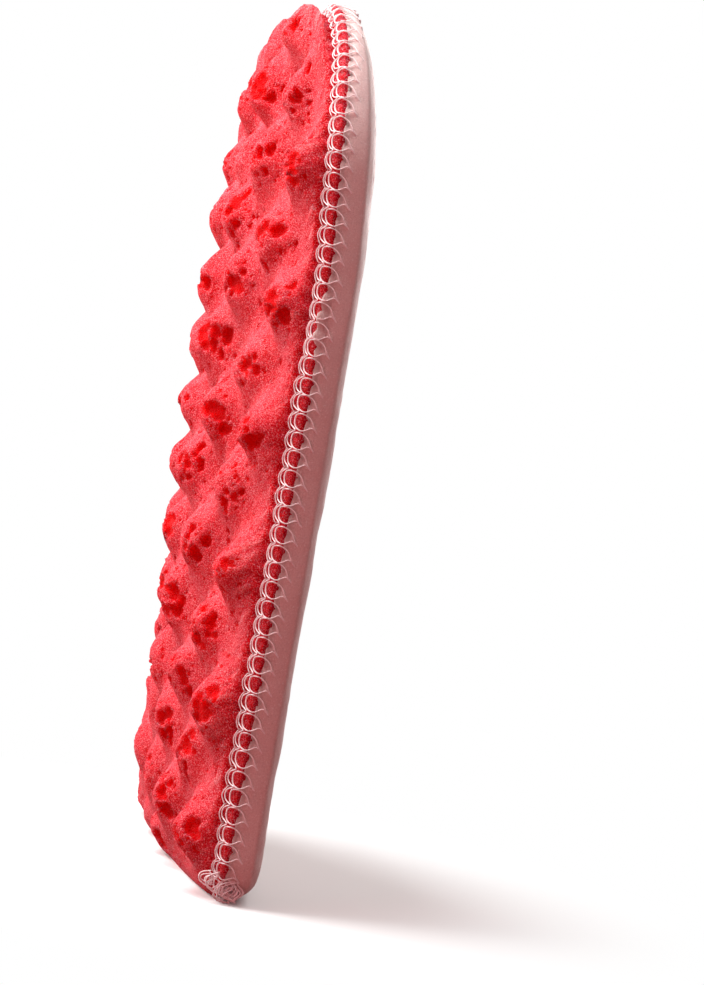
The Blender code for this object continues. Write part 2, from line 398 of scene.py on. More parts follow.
def grid_places(low, high, step, edges):
    """Places across a sheet, with closer ones at the given distances in from both ends."""
    inner = step + edges[-1]
    count = max(2, round((high - low - 2 * inner) / step) + 1)
    middle = np.linspace(low + inner, high - inner, count)
    ends = np.array((0.0, *edges))
    return np.concatenate([low + ends, middle, high - ends[::-1]])


def sheet_grid(step, edges):
    """Across and along of each point of a grid that fills the outline."""
    across_places = grid_places(-HALF_WIDTH, HALF_WIDTH, step, edges)
    along_places = grid_places(0.0, LENGTH, step, edges)
    return to_outline(*np.meshgrid(across_places, along_places))


def grid_faces(rows, columns, start=0, flip=False):
    index = np.arange(rows * columns).reshape(rows, columns) + start
    corners = [index[:-1, :-1], index[:-1, 1:], index[1:, 1:], index[1:, :-1]]
    quads = np.stack(corners, axis=-1).reshape(-1, 4)
    return quads[:, ::-1] if flip else quads


def rim_index(rows, columns, start=0):
    """Indices of a grid's outer ring, once round: up the right side and back down the left."""
    index = np.arange(rows * columns).reshape(rows, columns) + start
    return np.concatenate(
        [index[0, :-1], index[:-1, -1], index[-1, :0:-1], index[:0:-1, 0]]
    )


def strip_faces(lower, upper):
    """Quads between two rings of the same count."""
    return np.stack([lower, np.roll(lower, -1), np.roll(upper, -1), upper], axis=-1)


def sheet_rim(across, along, face, back):
    """Across, along and way out round a sheet's rim, and its points on the face and the back."""
    rim = rim_index(*across.shape)
    across, along = across.ravel()[rim], along.ravel()[rim]
    inward = edge_at(run_of(across, along))[1]
    outward = np.stack([-inward[0], np.zeros(len(rim)), -inward[1]], axis=1)
    outward[along < MOUTH_LINE] = (0, 0, 0)
    return across, along, outward, face.reshape(-1, 3)[rim], back.reshape(-1, 3)[rim]


def mesh_object(name, points, quads, material, attributes=None):
    data = bpy.data.meshes.new(name)
    data.vertices.add(len(points))
    data.vertices.foreach_set("co", np.asarray(points, np.float32).ravel())
    data.loops.add(len(quads) * 4)
    data.loops.foreach_set("vertex_index", np.asarray(quads, np.int32).ravel())
    data.polygons.add(len(quads))
    data.polygons.foreach_set("loop_start", np.arange(0, len(quads) * 4, 4, dtype=np.int32))
    data.polygons.foreach_set("use_smooth", np.ones(len(quads), bool))
    data.update(calc_edges=True)
    data.validate()
    for key, values in (attributes or {}).items():
        layer = data.attributes.new(key, "FLOAT", "POINT")
        layer.data.foreach_set("value", np.asarray(values, np.float32))
    data.materials.append(material)
    item = bpy.data.objects.new(name, data)
    bpy.context.scene.collection.objects.link(item)
    return item


def grid_normals(points):
    """Unit normals of a grid of points, out of its face."""
    up = np.gradient(points, axis=0)
    side = np.gradient(points, axis=1)
    normal = np.cross(side, up)
    return normal / np.maximum(1e-12, np.linalg.norm(normal, axis=-1, keepdims=True))


def layer_mesh(name, face, wall_rings, back, material, attributes):
    """A closed layer from a face grid, rings of points down its wall and a back grid."""
    rows, columns = face.shape[:2]
    points = [face.reshape(-1, 3)]
    quads = [grid_faces(rows, columns)]
    ring = rim_index(rows, columns)
    count = rows * columns
    for places in wall_rings:
        fresh = count + np.arange(len(ring))
        points.append(places)
        quads.append(strip_faces(fresh, ring))
        ring, count = fresh, count + len(places)
    points.append(back.reshape(-1, 3))
    quads.append(grid_faces(rows, columns, count, flip=True))
    quads.append(strip_faces(rim_index(rows, columns, count), ring))
    points = np.concatenate(points)
    points[:, 2] = np.maximum(points[:, 2], 0.0)
    filled = {}
    for key, (on_face, on_wall) in attributes.items():
        rest = np.zeros(len(points) - len(on_face) - len(on_wall))
        filled[key] = np.concatenate([on_face, on_wall, rest])
    return mesh_object(name, points, np.concatenate(quads), material, filled)


# The seam's stitches

STITCH = 0.0041
FIRST_NODE = 0.0065
NODE_COUNT = int((2 * (HALF_RUN - FIRST_NODE)) / STITCH) + 1
NODE_INSET = 0.0004
CLIMB_INSET = 0.0055
CLIMB_STEPS = 28
CORNER_TURN = 0.0007
STITCH_JITTER = 0.06


def node_runs():
    """Where along the edge each stitch's node lies, with the slight unevenness of a sewn seam."""
    even = np.linspace(FIRST_NODE, 2 * HALF_RUN - FIRST_NODE, NODE_COUNT)
    return even + STITCH * STITCH_JITTER * np.random.default_rng(3).uniform(-1, 1, NODE_COUNT)


NODES = node_runs()


def stitch_phase(run):
    """0 at a node and rising to 1 at the next."""
    place = np.interp(run, NODES, np.arange(NODE_COUNT), left=-0.5, right=NODE_COUNT - 0.5)
    return place - np.floor(place)


def seam_point(run, reach, lift):
    """Place on the seam. Reach starts at the massage layer's rim: up the layer's face where it is
    negative, and down the wall to the white layer where it is positive. Lift is off the foam."""
    asked = (np.asarray(value, float) for value in (run, reach, lift))
    run, reach, lift = np.broadcast_arrays(*asked)
    (across, along), inward = edge_at(run)
    insets = np.linspace(NODE_INSET, CLIMB_INSET, CLIMB_STEPS)
    ladder = massage_height(across[..., None] + inward[0][..., None] * insets,
                            along[..., None] + inward[1][..., None] * insets)
    corner = ladder[..., 0]
    climbed = ladder < (corner - reach)[..., None]
    step = np.clip(climbed.sum(axis=-1), 1, CLIMB_STEPS - 1)
    below = np.take_along_axis(ladder, step[..., None] - 1, -1)[..., 0]
    above = np.take_along_axis(ladder, step[..., None], -1)[..., 0]
    part = np.clip((corner - reach - below) / np.maximum(1e-7, above - below), 0, 1)
    inset = np.where(reach < 0, insets[step - 1] + part * (insets[1] - insets[0]), 0)
    slope = (above - below) / (insets[1] - insets[0])
    height = np.where(reach < 0, below + part * (above - below), corner - reach)
    corner_turn = math.pi / 2 * smooth((reach + CORNER_TURN) / (2 * CORNER_TURN))
    turn = np.where(reach < 0, np.maximum(corner_turn, np.arctan(slope)), corner_turn)
    out = lift * np.sin(turn)
    across = across + inward[0] * inset - inward[0] * out
    along = along + inward[1] * inset - inward[1] * out
    return to_world(across, along, height + lift * np.cos(turn))


THREAD_STEPS = 3
TUBE_SIDES = 6
TUBE_END_SHARE = 0.3
# The two quads that close a six-sided end
TUBE_CAP = np.array(((0, 1, 4, 5), (1, 2, 3, 4)))


def rounded_path(points):
    """A smooth path through the points."""
    start, end = 2 * points[:1] - points[1:2], 2 * points[-1:] - points[-2:-1]
    padded = np.concatenate([start, points, end])
    before, here, after, beyond = padded[:-3], padded[1:-2], padded[2:-1], padded[3:]
    path = []
    for share in np.arange(THREAD_STEPS) / THREAD_STEPS:
        square, cube = share**2, share**3
        path.append(
            0.5 * (2 * here + (after - before) * share
                   + (2 * before - 5 * here + 4 * after - beyond) * square
                   + (3 * here - before - 3 * after + beyond) * cube)
        )
    path = np.stack(path, axis=1).reshape(-1, points.shape[1])
    return np.concatenate([path, points[-1:]])


def tube_mesh(path, radius, shares=None):
    """Points and quads of a closed tube along the path, turning without a twist."""
    steps = np.gradient(path, axis=0)
    steps = steps / np.maximum(1e-12, np.linalg.norm(steps, axis=1, keepdims=True))
    first = np.cross(steps[0], (0.3, 0.5, 0.81))
    across = [first / np.linalg.norm(first)]
    for step in steps[1:]:
        turned = across[-1] - step * np.dot(across[-1], step)
        across.append(turned / np.linalg.norm(turned))
    across = np.array(across)
    beside = np.cross(steps, across)
    angle = (np.arange(TUBE_SIDES) * 2 * math.pi / TUBE_SIDES)[:, None]
    ring = across[:, None] * np.cos(angle) + beside[:, None] * np.sin(angle)
    taper = np.ones(len(path)) if shares is None else np.array(shares)
    taper[[0, -1]] = TUBE_END_SHARE
    points = path[:, None] + radius * taper[:, None, None] * ring
    index = np.arange(len(path) * TUBE_SIDES).reshape(-1, TUBE_SIDES)
    turned = np.roll(index, -1, axis=1)
    quads = np.stack([index[:-1], turned[:-1], turned[1:], index[1:]], axis=-1).reshape(-1, 4)
    caps = [index[0][TUBE_CAP[:, ::-1]], index[-1][TUBE_CAP]]
    return points.reshape(-1, 3), np.concatenate([quads, *caps])


UPPER_RADIUS = 0.00014
NEEDLE_RADIUS = 0.00012
LOWER_RADIUS = 0.00017
# The lower loops' legs: how thin they are, and the reach down to which they stay thick
LEG_SHARE = 0.80
LEG_START = 0.0012
# How the stitches' reach up the face varies: how much, from which reach, over how many stitches
COLUMN_SPREAD = 0.40
COLUMN_START = -0.0007
COLUMN_RUN = 3.0
# Chance in a stitch's reach up the face, in its place down the seam, and in its reach in metres
FORM_WOBBLE = (0.06, 0.02, 0.00005)

# Stitch forms: how far back down the seam in stitches, reach in metres, and lift in thread radii
UPPER_FORM = (
    (-0.08, -0.00022, 3.0),
    (0.02, -0.00050, 2.2),
    (0.10, -0.00092, 1.2),
    (0.22, -0.00122, 1.0),
    (0.38, -0.00134, 1.0),
    (0.56, -0.00132, 1.0),
    (0.72, -0.00110, 1.2),
    (0.84, -0.00066, 2.0),
)
NEEDLE_FORM = (
    (0.02, -0.00120, -9.0),
    (0.02, -0.00120, -3.5),
    (0.03, -0.00122, -0.2),
    (0.10, -0.00132, 0.7),
    (0.28, -0.00160, 0.7),
    (0.50, -0.00174, 0.7),
    (0.72, -0.00160, 0.7),
    (0.90, -0.00132, 0.7),
    (0.97, -0.00122, -0.2),
    (0.98, -0.00120, -3.5),
    (0.98, -0.00120, -9.0),
)
# A loop: out of the white foam, up to a node, over to the next, down and back into the foam
LOOP_FORM = (
    (1.04, 0.00480, -2.6),
    (0.98, 0.00440, 0.4),
    (0.86, 0.00385, 1.8),
    (0.70, 0.00330, 2.8),
    (0.51, 0.00290, 3.2),
    (0.34, 0.00250, 3.1),
    (0.19, 0.00190, 2.2),
    (0.09, 0.00110, 1.5),
    (0.05, 0.00030, 1.3),
    (0.09, -0.00034, 1.1),
    (0.20, -0.00060, 1.0),
    (0.34, -0.00068, 1.0),
    (0.52, -0.00066, 1.0),
    (0.70, -0.00052, 1.0),
    (0.85, -0.00020, 1.2),
    (0.94, 0.00040, 1.4),
    (0.93, 0.00110, 1.5),
    (0.84, 0.00180, 2.0),
    (0.75, 0.00235, 3.1),
    (0.72, 0.00285, 3.2),
    (0.80, 0.00340, 2.6),
    (0.94, 0.00400, 1.4),
    (1.06, 0.00460, 0.3),
    (1.12, 0.00500, -2.6),
)
DASH_INSET = 0.0054
DASH_HALF = 0.0011
DASH_SINK = 0.0011
# The short stitches on the white face: place in half lengths, and lift in metres
DASH_FORM = (
    (-1.0, -DASH_SINK),
    (-0.8, -0.9 * NEEDLE_RADIUS),
    (0.0, -0.4 * NEEDLE_RADIUS),
    (0.8, -0.9 * NEEDLE_RADIUS),
    (1.0, -DASH_SINK),
)


def form_places(form, node, radius, wobble):
    back, reach, lift = np.array(form).T
    reach_share, back_more, reach_more = np.array(FORM_WOBBLE) * wobble
    column = noise(np.array([[node / COLUMN_RUN, 0.5]]), 1.0, 81)[0]
    slack = 1 + COLUMN_SPREAD * column + reach_share
    reach = np.where(reach < COLUMN_START, COLUMN_START + (reach - COLUMN_START) * slack, reach)
    return seam_point(NODES[node] - (back + back_more) * STITCH, reach + reach_more, lift * radius)


def scrub_face_place(run, inset, lift):
    (across, along), inward = edge_at(run)
    across, along = across + inward[0] * inset, along + inward[1] * inset
    face = scrub_height(across, along) + STITCH_DENT - scrub_softness(across, along)
    return to_world(across, along, face - lift)


def leg_taper(count):
    """Radius shares along the lower loops: thick beside the edge, thin where a leg sinks in."""
    reach = np.array(LOOP_FORM)[:, 1]
    share = LEG_SHARE + (1 - LEG_SHARE) * smooth((LEG_START - reach) / LEG_START)
    shares = np.tile(np.append(share, LEG_SHARE), NODE_COUNT - 1)
    return np.interp(np.arange(count) / THREAD_STEPS, np.arange(len(shares)), shares)


def add_thread(name, path, radius, node_name, shares=None):
    points, quads = tube_mesh(path, radius, shares)
    piece = mesh_object(name, points, quads, THREAD)
    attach(piece, "root")
    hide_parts(node_name)


def make_threads():
    chance = np.random.default_rng(5)
    upper, needle, lower = [], [], []
    dash, dash_lift = np.array(DASH_FORM).T
    for node in range(NODE_COUNT - 1, 0, -1):
        wobble = chance.normal(0, 1, 3)
        upper.append(form_places(UPPER_FORM, node, UPPER_RADIUS, wobble))
        needle.append(form_places(NEEDLE_FORM, node, NEEDLE_RADIUS, wobble))
        dash_run = NODES[node] - STITCH - dash * DASH_HALF
        needle.append(scrub_face_place(dash_run, DASH_INSET, dash_lift))
        hidden = scrub_face_place(NODES[node : node + 1], DASH_INSET, -DASH_SINK)
        lower += [form_places(LOOP_FORM, node, LOWER_RADIUS, wobble), hidden]
    for name, places, radius, node_name in (
        ("upper_looper_loops", upper, UPPER_RADIUS, "upper_looper_thread"),
        ("needle_thread_run", needle, NEEDLE_RADIUS, "needle_thread"),
        ("lower_looper_loops", lower, LOWER_RADIUS, "lower_looper_thread"),
    ):
        path = rounded_path(np.concatenate(places))
        shares = leg_taper(len(path)) if places is lower else None
        add_thread(name, path, radius, node_name, shares)


# Foam detail on the massage layer

FOAM_STEP = 0.00054
FOAM_EDGES = (0.0002, 0.0005)
DETAIL_FADE = 0.004
# Strength and wavelength of the face's lumps and of the cut wall's grain
LUMPS = ((0.00045, 0.0070), (0.00024, 0.0034), (0.00012, 0.0016), (0.00008, 0.0009))
WALL_GRAIN = ((0.00016, 0.0012), (0.00012, 0.0028))
WALL_HOLLOW = 0.00008
WALL_SHARES = (0.12, 0.24, 0.36, 0.48, 0.60, 0.72, 0.86)
LIP_INSET = 0.00010
LIP_RUN = 0.003
CREASE_DEPTH = 0.0009
CREASE_WIDTH = 0.0009
CREASE_SHARES = (0.6, 0.4)
PINCH_DEPTH = 0.00035
PINCH_WIDTH = 0.0045

# Insets from which the hollows between bumps get painted shade, and the band of painted shade beside
# the seam
HOLLOW_SHADE_START = 0.006
HOLLOW_SHADE_RUN = 0.01
SEAM_SHADE_START = 0.0022
SEAM_SHADE_END = 0.0085

PORE_CLUSTER = 0.0048
PORE_LEAN = 0.0030
PORE_INSET = 0.0055
PORE_START = 0.002
LARGE_PORES = 10
FINE_PORES = 10
SMALL_PORE_COUNT = 1500
LARGE_SPREAD = PORE_CLUSTER / 1.6
FINE_SPREAD = PORE_CLUSTER / 1.5
# Pore radii: the least, how much more, and the power that keeps most of them small
LARGE_RADII = (0.00070, 0.0016, 1.6)
FINE_RADII = (0.00030, 0.00035, 1)
SMALL_RADII = (0.0003, 0.0005, 2)
PORE_DEPTH = 0.0004
PORE_DEPTH_SHARE = 0.60
PORE_SHARPNESS = 4.0
# How ragged a pore's outline is, coarse and fine, and at which wavelengths
RAGGED = (0.30, 0.15)
RAGGED_SIZES = (0.0011, 0.0007)

STREAK_WIDTH = 0.0011
STREAK_LENGTH = 0.0075
STREAK_FINER = (2.1, 1.6)
STREAK_DEPTH = 0.00020
STREAK_SPAN = 0.0125
STREAK_GAIN = 1.4
STREAK_START = 0.003
STREAK_FADE = 0.002
STREAK_SLOPE = 0.85


def pore_radius(chance, radii):
    least, more, power = radii
    return least + more * chance.uniform(0, 1) ** power


def pore_list():
    """(across, along, radius) of each pore: a cluster on every bump, and smaller ones between."""
    chance = np.random.default_rng(21)
    pores = []
    for across, along, _, _ in BUMPS:
        large = LARGE_PORES + chance.integers(-2, 3)
        lean = PORE_LEAN * (1 if across > 0 else -1)
        for count, spread, radii in (
            (large, LARGE_SPREAD, LARGE_RADII),
            (FINE_PORES, FINE_SPREAD, FINE_RADII),
        ):
            for _ in range(count):
                away = chance.normal(0, spread, 2)
                radius = pore_radius(chance, radii)
                pores.append((across + lean + away[0], along + away[1], radius))
    for _ in range(SMALL_PORE_COUNT):
        place = (chance.uniform(-HALF_WIDTH, HALF_WIDTH), chance.uniform(PORE_START, LENGTH))
        pores.append((*place, pore_radius(chance, SMALL_RADII)))
    return [pore for pore in pores
            if inset_of(np.array(pore[0]), np.array(pore[1])) > PORE_INSET]


def carve_pores(points, across, along):
    """Inward depth and share of each grid point that lies in a pore."""
    depth, share = np.zeros(across.shape), np.zeros(across.shape)
    rows, columns = across.shape
    for pore_across, pore_along, radius in pore_list():
        row = int(np.clip(round(pore_along / LENGTH * (rows - 1)), 0, rows - 1))
        column = round((pore_across / HALF_WIDTH + 1) / 2 * (columns - 1))
        column = int(np.clip(column, 0, columns - 1))
        span = int(2.2 * radius / FOAM_STEP) + 6
        window = (slice(max(0, row - span), row + span + 1),
                  slice(max(0, column - span), column + span + 1))
        flat = np.hypot(across[window] - pore_across, along[window] - pore_along)
        middle = points[window][np.unravel_index(flat.argmin(), flat.shape)]
        away = np.linalg.norm(points[window] - middle, axis=-1) / radius
        waves = zip(RAGGED, (max(RAGGED_SIZES[0], radius), RAGGED_SIZES[1]))
        ragged = layered_noise(points[window], waves, 31)
        inside = smooth((1.0 + ragged - away) * PORE_SHARPNESS)
        deepest = PORE_DEPTH + PORE_DEPTH_SHARE * radius
        depth[window] = np.maximum(depth[window], inside * deepest)
        share[window] = np.maximum(share[window], inside)
    return depth, share


def streak_height(across, along, inset):
    """Fine fibres of foam drawn slantwise towards the seam, and how near it each point is."""
    run = run_of(across, along)
    run = np.where(across > 0, run, 2 * HALF_RUN - run)
    length = math.hypot(1, STREAK_SLOPE)
    along_fibre = (run * STREAK_SLOPE - inset) / length
    across_fibre = (run + inset * STREAK_SLOPE) / length
    places = np.stack([across_fibre / STREAK_WIDTH, along_fibre / STREAK_LENGTH], axis=-1)
    near = smooth((STREAK_SPAN - inset) / STREAK_SPAN * STREAK_GAIN)
    near = near * smooth((inset - STREAK_START) / STREAK_FADE)
    coarse, fine = noise(places, 1.0, 41), noise(places * STREAK_FINER, 1.0, 42)
    return (coarse + 0.5 * fine) * near, near


def massage_back(across, along):
    """The inner face, hollowed for the pocket and tucked in below the white layer's lip."""
    height = SEAM_GAP / 2 + POCKET_DEPTH * pocket_share(across, along)
    most = massage_height(across, along) - LEAST_THICKNESS * np.clip(along / 0.002, 0.6, 1)
    height = np.minimum(height, np.maximum(most, SEAM_GAP / 2))
    inward = edge_at(run_of(across, along))[1]
    tuck = LIP_INSET * np.clip(1 - inset_of(across, along) / LIP_RUN, 0, 1)
    tuck = tuck * smooth(along / LIP_RUN)
    return to_world(across + inward[0] * tuck, along + inward[1] * tuck, height)


def massage_wall(rim):
    """Rings of points down the cut wall, grainy and hollow between the stitches."""
    across, along, outward, top, bottom = rim
    phase = stitch_phase(run_of(across, along))
    rings = []
    for share in WALL_SHARES:
        places = top * (1 - share) + bottom * share
        hollow = WALL_HOLLOW * math.sin(math.pi * share)
        hollow = hollow * (0.3 + 0.7 * np.sin(math.pi * phase) ** 2)
        grain = layered_noise(places, WALL_GRAIN, 61)
        rings.append(places + outward * (grain - hollow)[:, None])
    return rings


def make_massage_layer():
    across, along = sheet_grid(FOAM_STEP, FOAM_EDGES)
    inset = inset_of(across, along)
    face = massage_face(across, along)
    beyond = smooth((inset - RIM_WIDTH) / DETAIL_FADE) * smooth(along / DETAIL_FADE)
    lumps = layered_noise(face, LUMPS, 50)
    streaks, near_seam = streak_height(across, along, inset)
    depth, pore = carve_pores(face, across, along)
    crease = bell(inset - RIM_WIDTH, CREASE_WIDTH)
    wave = np.cos(2 * math.pi * stitch_phase(run_of(across, along)))
    moved = lumps * beyond + STREAK_DEPTH * streaks - depth * beyond
    moved = moved - CREASE_DEPTH * crease * (CREASE_SHARES[0] + CREASE_SHARES[1] * wave)
    moved = moved - PINCH_DEPTH * ((0.5 + 0.5 * wave) * smooth(1 - inset / PINCH_WIDTH))
    face = face + grid_normals(face) * moved[..., None]
    back = massage_back(across, along)
    rings = massage_wall(sheet_rim(across, along, face, back))
    wall = np.ones(sum(len(ring) for ring in rings))
    # Painted shade, kept in the "hollow" attribute: darker red in the hollows between bumps and in a
    # band beside the seam
    hollow = smooth(0.5 - bump_share(across, along) * 0.8)
    hollow = hollow * smooth((inset - HOLLOW_SHADE_START) / HOLLOW_SHADE_RUN)
    beside = smooth((SEAM_SHADE_END - inset) / DETAIL_FADE) * smooth((inset - SEAM_SHADE_START) / 0.001)
    hollow = np.maximum(hollow, beside * smooth(1 - 1.5 * ridge_share(across, along)))
    return layer_mesh(
        "massage_foam_layer", face, rings, back, massage_foam_material(),
        {
            # Share of each point in a pore, which the material paints a deep saturated red as shade
            # in the hole
            "pore": ((pore * beyond).ravel(), 0 * wall),
            # Painted shade on the seam's crease and cut wall, and faintly beside it, kept in the
            # "seam" attribute
            "seam": (np.maximum(near_seam * 0.35, crease * 0.8).ravel(), wall),
            "hollow": (hollow.ravel(), 0 * wall),
            "streak": ((streaks * 0.5 + 0.5).ravel(), 0.5 * wall),
        },
    )


# The scrub layer

SCRUB_STEP = 0.0009
SCRUB_EDGES = (0.0002, 0.0005, 0.0009)
SCRUB_RIM = 0.0048
SCRUB_ROUND = 0.0016
SCRUB_CROWN = 0.0055
SCRUB_CROWN_RUN = 0.020
SCRUB_POCKET = 0.0050
SCRUB_TOP_SHARE = 0.06
SCRUB_CURL_SHARE = 0.75
SCRUB_THIN_RUN = 0.068
SCRUB_MOUTH_ROUND = 0.0045
SCRUB_WALL_SHARES = (0.12, 0.26, 0.40, 0.54, 0.66, 0.77, 0.86, 0.93)
# Strength and wavelength of the face's unevenness
SOFTNESS = ((0.00022, 0.009), (0.00012, 0.0035))
SOFTNESS_FADE = 0.003
STITCH_DENT = 0.00007
STITCH_DENT_WIDTH = 0.0013
WALL_BULGE = 0.0003
WALL_WAVE = ((0.00012, 0.004),)
# Where the loops' legs press on the wall, in stitches from a node, and how deep
LEG_PHASE = 0.36
LEG_WIDTH = 0.16
LEG_PINCH = 0.00040
LEG_PINCH_RUN = 0.15
# The lip that swells up over the seam, and its larger swelling at one place
LIP_HEIGHT = 0.00085
LIP_OUT = 0.00006
LIP_PINCH = 0.0002
LIP_SINK = 0.45
LIP_WAVE = ((0.00012, 0.0016),)
SWELL_RISE = 0.0014
SWELL_OUT = 0.00022
SWELL_PLACE = 0.127
SWELL_RUN = 0.0075
SWELL_SINK = 0.4
SWELL_WAVE = ((0.5, 0.0030),)
# Points round the lip, in shares of its reach out and up
LIP_FORM = ((1.0, 0.10), (1.0, 0.40), (0.75, 0.72), (0.30, 0.95),
            (-0.25, 1.0), (-0.80, 0.80), (-1.2, 0.3))


def scrub_height(across, along):
    """The rim thins towards the top, and the mouth's edge is rounded under."""
    inset = inset_of(across, along)
    thick = np.sin(math.pi / 2 * np.clip((LENGTH - along) / SCRUB_THIN_RUN, 0, 1))
    full = SCRUB_TOP_SHARE + (1 - SCRUB_TOP_SHARE) * thick
    rounded = SCRUB_ROUND * approach(inset, SCRUB_ROUND)
    crown = SCRUB_CROWN * (0.5 + 0.5 * full) * approach(inset - SCRUB_ROUND, SCRUB_CROWN_RUN)
    lost = SCRUB_RIM * (1 - full) * approach(inset, 3 * SCRUB_CROWN_RUN)
    height = SCRUB_RIM * full + rounded + crown + lost
    under = SCRUB_MOUTH_ROUND
    dip = under - np.sqrt(np.maximum(0, under**2 - np.maximum(0, under - along) ** 2))
    height = height - dip + SCRUB_CURL_SHARE * seam_curl(across, along)
    return -np.maximum(height, SEAM_GAP)


def scrub_softness(across, along):
    """The white face's faint unevenness."""
    soft = layered_noise(np.stack([across, along], axis=-1), SOFTNESS, 71)
    return soft * smooth(inset_of(across, along) / SOFTNESS_FADE)


def scrub_wall(rim):
    """Rings of points down the wall, pressed in by the loops' legs, and over the lip."""
    across, along, outward, top, bottom = rim
    phase = stitch_phase(run_of(across, along) + LEG_PHASE * STITCH)
    legs = bell(np.minimum(phase, 1 - phase), LEG_WIDTH)
    rings = []
    for share in SCRUB_WALL_SHARES:
        places = top * (1 - share) + bottom * share
        bulge = WALL_BULGE * math.sin(math.pi * share) + layered_noise(places, WALL_WAVE, 73)
        bulge = bulge + LIP_OUT * 0.8 * smooth((share - 0.5) * 2)
        pinch = LEG_PINCH * legs * bell(1 - share, LEG_PINCH_RUN)
        rings.append(places + outward * (bulge - pinch)[:, None])
    swell = bell(along - SWELL_PLACE, SWELL_RUN) * (across > 0)
    swell = swell * (1 + layered_noise(bottom, SWELL_WAVE, 75) - SWELL_SINK * legs)
    low = smooth(along / LIP_RUN)
    rise = LIP_HEIGHT * low * (1 - LIP_SINK * legs)
    rise = rise + layered_noise(bottom, LIP_WAVE, 74) * low + SWELL_RISE * swell
    for out, up in LIP_FORM:
        reach = LIP_OUT * out + SWELL_OUT * swell * max(out, 0) - LIP_PINCH * legs
        places = bottom + outward * reach[:, None]
        places[:, 1] -= rise * up
        rings.append(places)
    return rings


def make_scrub_layer():
    across, along = (places[:, ::-1] for places in sheet_grid(SCRUB_STEP, SCRUB_EDGES))
    phase = stitch_phase(run_of(across, along) + STITCH / 2)
    dent = bell(inset_of(across, along) - DASH_INSET, STITCH_DENT_WIDTH)
    dent = dent * (0.45 + 0.55 * np.cos(math.pi * (phase - 0.5)) ** 2)
    height = scrub_height(across, along) + STITCH_DENT * dent - scrub_softness(across, along)
    face = to_world(across, along, height)
    most = scrub_height(across, along) + LEAST_THICKNESS
    back_height = -SEAM_GAP / 2 - SCRUB_POCKET * pocket_share(across, along)
    back_height = np.minimum(np.maximum(back_height, most), -SEAM_GAP / 2)
    back = to_world(across, along, back_height)
    rings = scrub_wall(sheet_rim(across, along, face, back))
    # Painted shade, kept in the "seam" attribute: darker in the stitches' dents, low on the wall and
    # on the lip beside the seam
    near = [0.4 * share**3 for share in SCRUB_WALL_SHARES] + [0.4] * len(LIP_FORM)
    return layer_mesh(
        "scrub_foam_layer", face, rings, back, scrub_foam_material(),
        {"seam": ((dent * 0.6).ravel(), np.repeat(near, len(rings[0])))},
    )


# Thread tails at the two ends of the seam

TAIL_RADIUS = 0.00014
TAIL_LOOPS = 24
TAIL_LOOP_STEPS = 7
TAIL_LOOP = 0.0021
TAIL_LEFT = 0.0062
TAIL_LEFT_PLACE = 0.82
TAIL_LEFT_RUN = 0.10
TAIL_MIDDLE = 0.0024
TAIL_HEIGHT = 0.0030
TAIL_SPREAD = 0.0009
TAIL_OUT = 0.0032


def tail_path(side):
    """A slack tangle of loops beside the mouth's corner, hung from the seam's last stitch."""
    chance = np.random.default_rng(17 if side > 0 else 18)
    first = NODES[0] if side > 0 else NODES[-1]
    start = seam_point(np.array(first - side * 0.25 * STITCH), np.array(0.0006), 0.0004)
    places = [start]
    count = TAIL_LOOPS * TAIL_LOOP_STEPS
    for step in range(1, count + 1):
        share = step / count
        turn = 2 * math.pi * TAIL_LOOPS * share
        loop = TAIL_LOOP * (0.75 + 0.35 * math.sin(turn * 0.23 + 2) + 0.15 * chance.uniform())
        loop = loop * min(1, 6 * share)
        drop = smooth(share * 3)
        left = TAIL_LEFT * bell(share - TAIL_LEFT_PLACE, TAIL_LEFT_RUN) * (side > 0)
        out = TAIL_SPREAD * math.sin(turn * 0.37 + 1) * drop
        swing = loop * math.cos(turn + 0.8 * math.sin(3 * turn))
        places.append((
            start[0] + side * (out + TAIL_OUT * drop),
            start[1] + TAIL_MIDDLE * drop - left + swing,
            start[2] + (TAIL_HEIGHT - start[2]) * drop + 0.4 * left + loop * math.sin(turn),
        ))
    return rounded_path(np.array(places))


def make_tails():
    for name, side, node_name in (
        ("right_chain_tail", 1, "right_thread_tail"),
        ("left_chain_tail", -1, "left_thread_tail"),
    ):
        path = tail_path(side)
        path[:, 2] = np.maximum(path[:, 2], TAIL_RADIUS)
        add_thread(name, path, TAIL_RADIUS, node_name)


# Materials


def add_node(tree, kind, inputs=None, **settings):
    """Adds a node, with its inputs linked to sockets or set to constants."""
    made = tree.nodes.new(kind)
    for key, value in settings.items():
        setattr(made, key, value)
    for key, value in (inputs or {}).items():
        if isinstance(value, bpy.types.NodeSocket):
            tree.links.new(value, made.inputs[key])
        else:
            made.inputs[key].default_value = value
    return made


